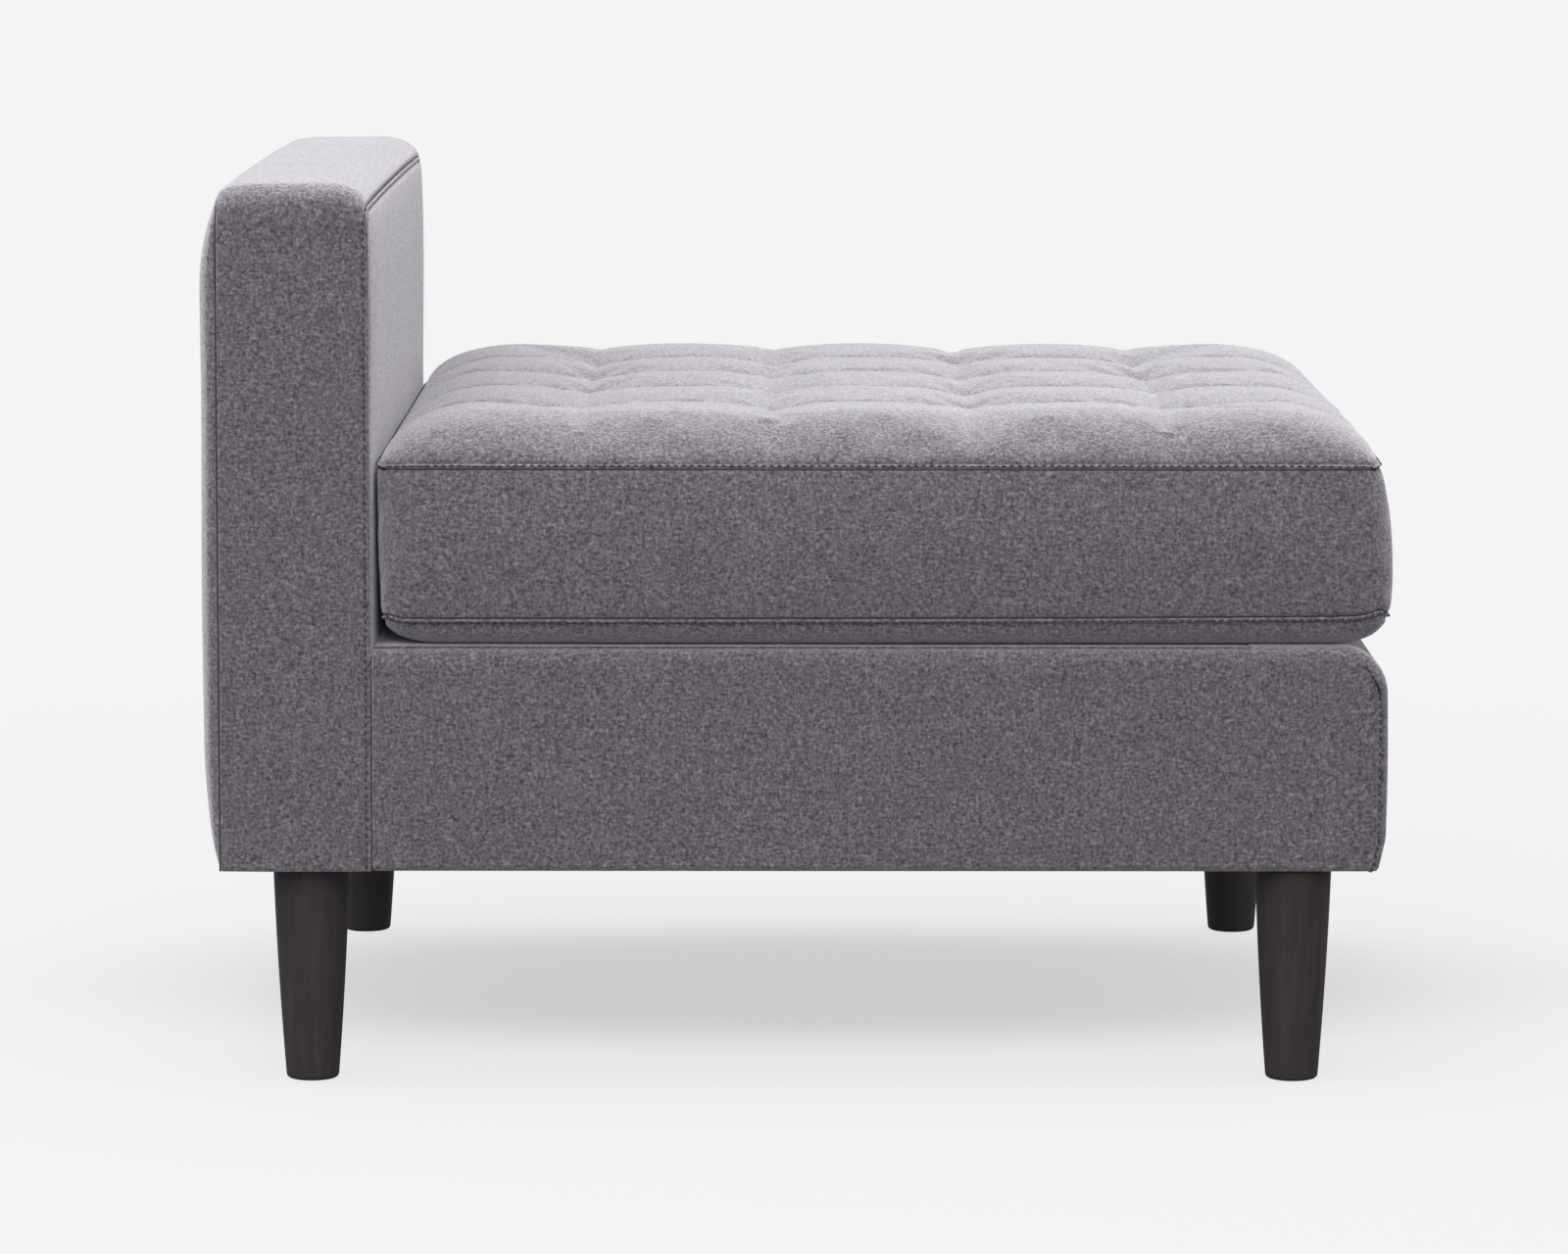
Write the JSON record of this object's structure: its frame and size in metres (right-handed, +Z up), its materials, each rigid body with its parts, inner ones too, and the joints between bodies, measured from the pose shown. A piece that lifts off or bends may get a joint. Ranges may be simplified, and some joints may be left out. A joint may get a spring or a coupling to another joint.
{
  "type": "armless sofa",
  "caption": "Armless sofa module: low slab back, box base, loose box seat cushion with biscuit tufting, and round tapered wooden legs.",
  "frame": {"origin": "on the floor, under the middle of the overall box", "axes": "+Z up, the seat faces -Y, the back is at +Y, +X is the sitter's left"},
  "size_m": [0.7628, 0.8799, 0.66],
  "materials": {
    "upholstery": "matte",
    "stained_wood": "satin",
    "timber": "matte",
    "hardboard": "matte",
    "foam": "matte",
    "webbing": "matte",
    "lining": "matte",
    "nylon": "matte",
    "steel": "satin",
    "tie": "matte",
    "zip_coil": "matte",
    "zip_metal": "satin"
  },
  "bodies": {
    "frame": {"back_boxing_strip": "upholstery", "back_front_foam": "foam", "back_front_panel": "upholstery", "back_lower_rail": "timber", "back_post_left": "timber", "back_post_right": "timber", "back_rear_board": "hardboard", "back_rear_panel": "upholstery", "back_top_rail": "timber", "back_web_1": "webbing", "back_web_2": "webbing", "back_web_3": "webbing", "back_web_4": "webbing", "base_front_band": "upholstery", "base_side_panel_left": "upholstery", "base_side_panel_right": "upholstery", "centre_brace": "timber", "corner_block_front_left": "timber", "corner_block_front_right": "timber", "corner_block_rear_left": "timber", "corner_block_rear_right": "timber", "deck_cloth": "upholstery", "deck_foam": "foam", "deck_support_cloth": "lining", "dust_cover": "lining", "frame_staples": "steel", "front_rail": "timber", "hanger_bolts": "steel", "leg_glides": "nylon", "leg_inserts": "steel", "legs_front": "stained_wood", "legs_rear": "stained_wood", "rear_rail": "timber", "seat_back_rail": "timber", "seat_web_cross_1": "webbing", "seat_web_cross_2": "webbing", "seat_web_cross_3": "webbing", "seat_web_cross_4": "webbing", "seat_web_long_1": "webbing", "seat_web_long_2": "webbing", "seat_web_long_3": "webbing", "seat_web_long_4": "webbing", "seat_web_long_5": "webbing", "side_rail_left": "timber", "side_rail_right": "timber"},
    "seat_cushion": {"cushion_core": "foam", "cushion_top_panel": "upholstery", "cushion_boxing": "upholstery", "cushion_zip_panel": "upholstery", "cushion_bottom_panel": "upholstery", "tuft_ties": "tie", "zip_chain": "zip_coil"},
    "zip_slider": {"zip_slider": "zip_metal"}
  },
  "joints": [
    {"name": "cushion_lift", "type": "slide", "parent": "frame", "child": "seat_cushion", "axis": [0, 0, 1], "range_m": [0, 0.25]},
    {"name": "zip_pull", "type": "slide", "parent": "seat_cushion", "child": "zip_slider", "axis": [1, 0, 0], "range_m": [0, 0.58]}
  ]
}
